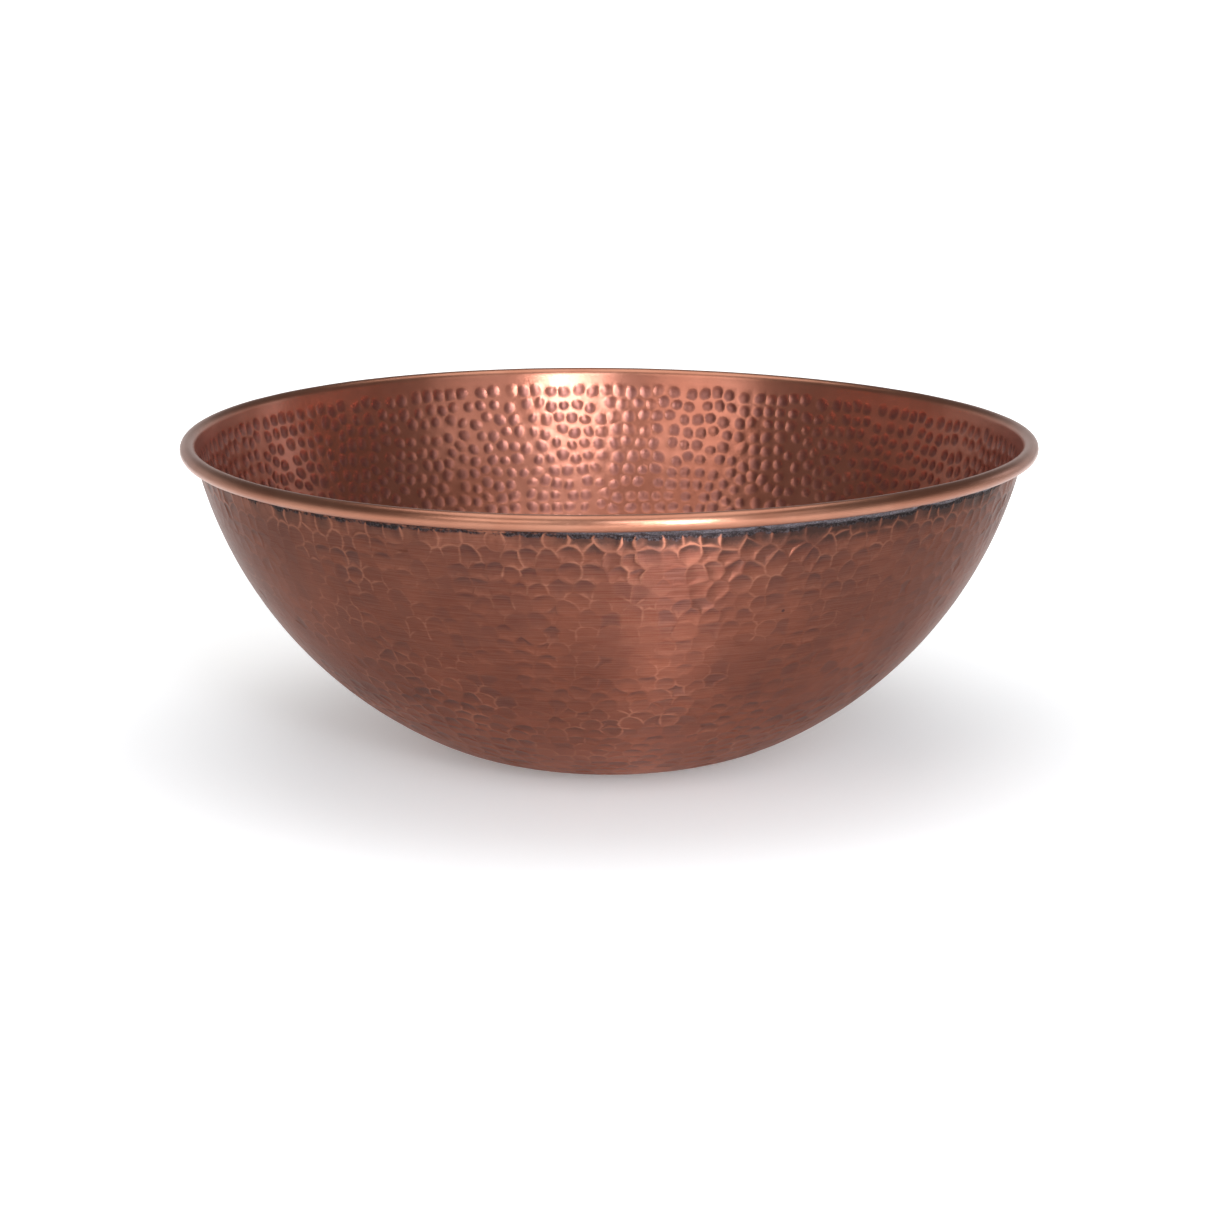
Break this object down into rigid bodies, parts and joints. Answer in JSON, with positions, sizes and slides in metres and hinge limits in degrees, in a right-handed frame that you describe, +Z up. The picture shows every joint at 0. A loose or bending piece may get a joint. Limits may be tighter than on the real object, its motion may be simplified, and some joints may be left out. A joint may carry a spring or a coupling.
{
  "type": "hammered bowl",
  "caption": "Round-bottomed hammered copper bowl with a smooth rolled rim, a small flat base and no foot or handles.",
  "frame": {"origin": "centre of the flat base, on its underside", "axes": "+Z up along the bowl's axis of turning; X and Y are equivalent across the rim"},
  "size_m": [0.4064, 0.4064, 0.1541],
  "materials": {
    "copper": "hammered, brushed and clear-coated copper with dark patina in the hammer marks",
    "steel_wire": "drawn wire",
    "solder": "dull and gritty, darkened"
  },
  "bodies": {
    "root": {"bowl_sheet": "copper", "rim_wire": "steel_wire", "rim_solder_seam": "solder"}
  },
  "joints": []
}
